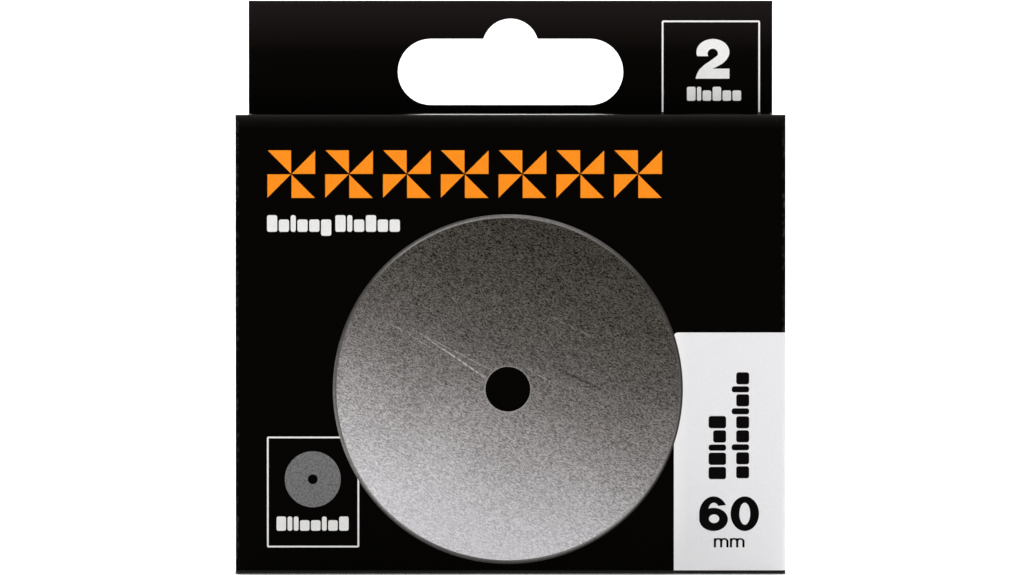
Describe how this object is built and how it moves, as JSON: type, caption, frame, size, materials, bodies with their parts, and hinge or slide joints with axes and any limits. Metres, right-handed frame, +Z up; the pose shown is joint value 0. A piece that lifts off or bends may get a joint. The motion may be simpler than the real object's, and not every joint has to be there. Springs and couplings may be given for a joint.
{
  "type": "rotary cutter blade pack",
  "caption": "Flat hang pack for round cutter blades: a black board sleeve with a sliding tray, a hang-hole header and a twist-lock blade case inside.",
  "frame": {"origin": "middle of the pack's footprint, on the surface that it stands on", "axes": "+Z up, towards the hang header; +X to the right and +Y to the back, seen from the front"},
  "size_m": [0.0944, 0.011, 0.0981],
  "materials": {
    "sleeve_board": "black printed paperboard, satin varnish",
    "tray_board": "black printed paperboard, satin varnish",
    "case_base_plastic": "fine moulded grain",
    "case_lid_plastic": "clear, smooth",
    "coated_blade_steel": "ground steel with a titanium coating",
    "oiled_paper": "thin oiled paper"
  },
  "bodies": {
    "sleeve": {"sleeve_front": "sleeve_board", "sleeve_back": "sleeve_board", "sleeve_left": "sleeve_board", "sleeve_right": "sleeve_board", "sleeve_glue_flap": "sleeve_board", "dust_flap_left": "sleeve_board", "dust_flap_right": "sleeve_board"},
    "closure": {"bottom_flap": "sleeve_board", "tuck_tongue": "sleeve_board"},
    "tray": {"hang_card": "tray_board", "header_front": "tray_board", "tray_ledge": "tray_board", "tray_platform": "tray_board", "tray_bottom": "tray_board", "tray_glue_tab": "tray_board", "tray_left": "tray_board", "tray_right": "tray_board", "case_base": "case_base_plastic", "paper_disc_1": "oiled_paper", "paper_disc_2": "oiled_paper"},
    "lid": {"case_lid": "case_lid_plastic"},
    "blade_front": {"blade_1": "coated_blade_steel"},
    "blade_rear": {"blade_2": "coated_blade_steel"}
  },
  "joints": [
    {"name": "tray_slide", "type": "slide", "parent": "sleeve", "child": "tray", "axis": [0, 0, 1], "range_m": [0, 0.068]},
    {"name": "closure_hinge", "type": "hinge", "parent": "sleeve", "child": "closure", "pos_m": [0, -0.0055, 0.0006], "axis": [-1, 0, 0], "range_deg": [0, 150]},
    {"name": "lid_twist", "type": "hinge", "parent": "tray", "child": "lid", "pos_m": [0, -0.0039, 0.04315], "axis": [0, -1, 0], "range_deg": [0, 30]},
    {"name": "blade_1_spin", "type": "hinge", "parent": "tray", "child": "blade_front", "pos_m": [0, 0, 0.04315], "axis": [0, 1, 0], "continuous": true},
    {"name": "blade_2_spin", "type": "hinge", "parent": "tray", "child": "blade_rear", "pos_m": [0, 0, 0.04315], "axis": [0, 1, 0], "continuous": true}
  ]
}
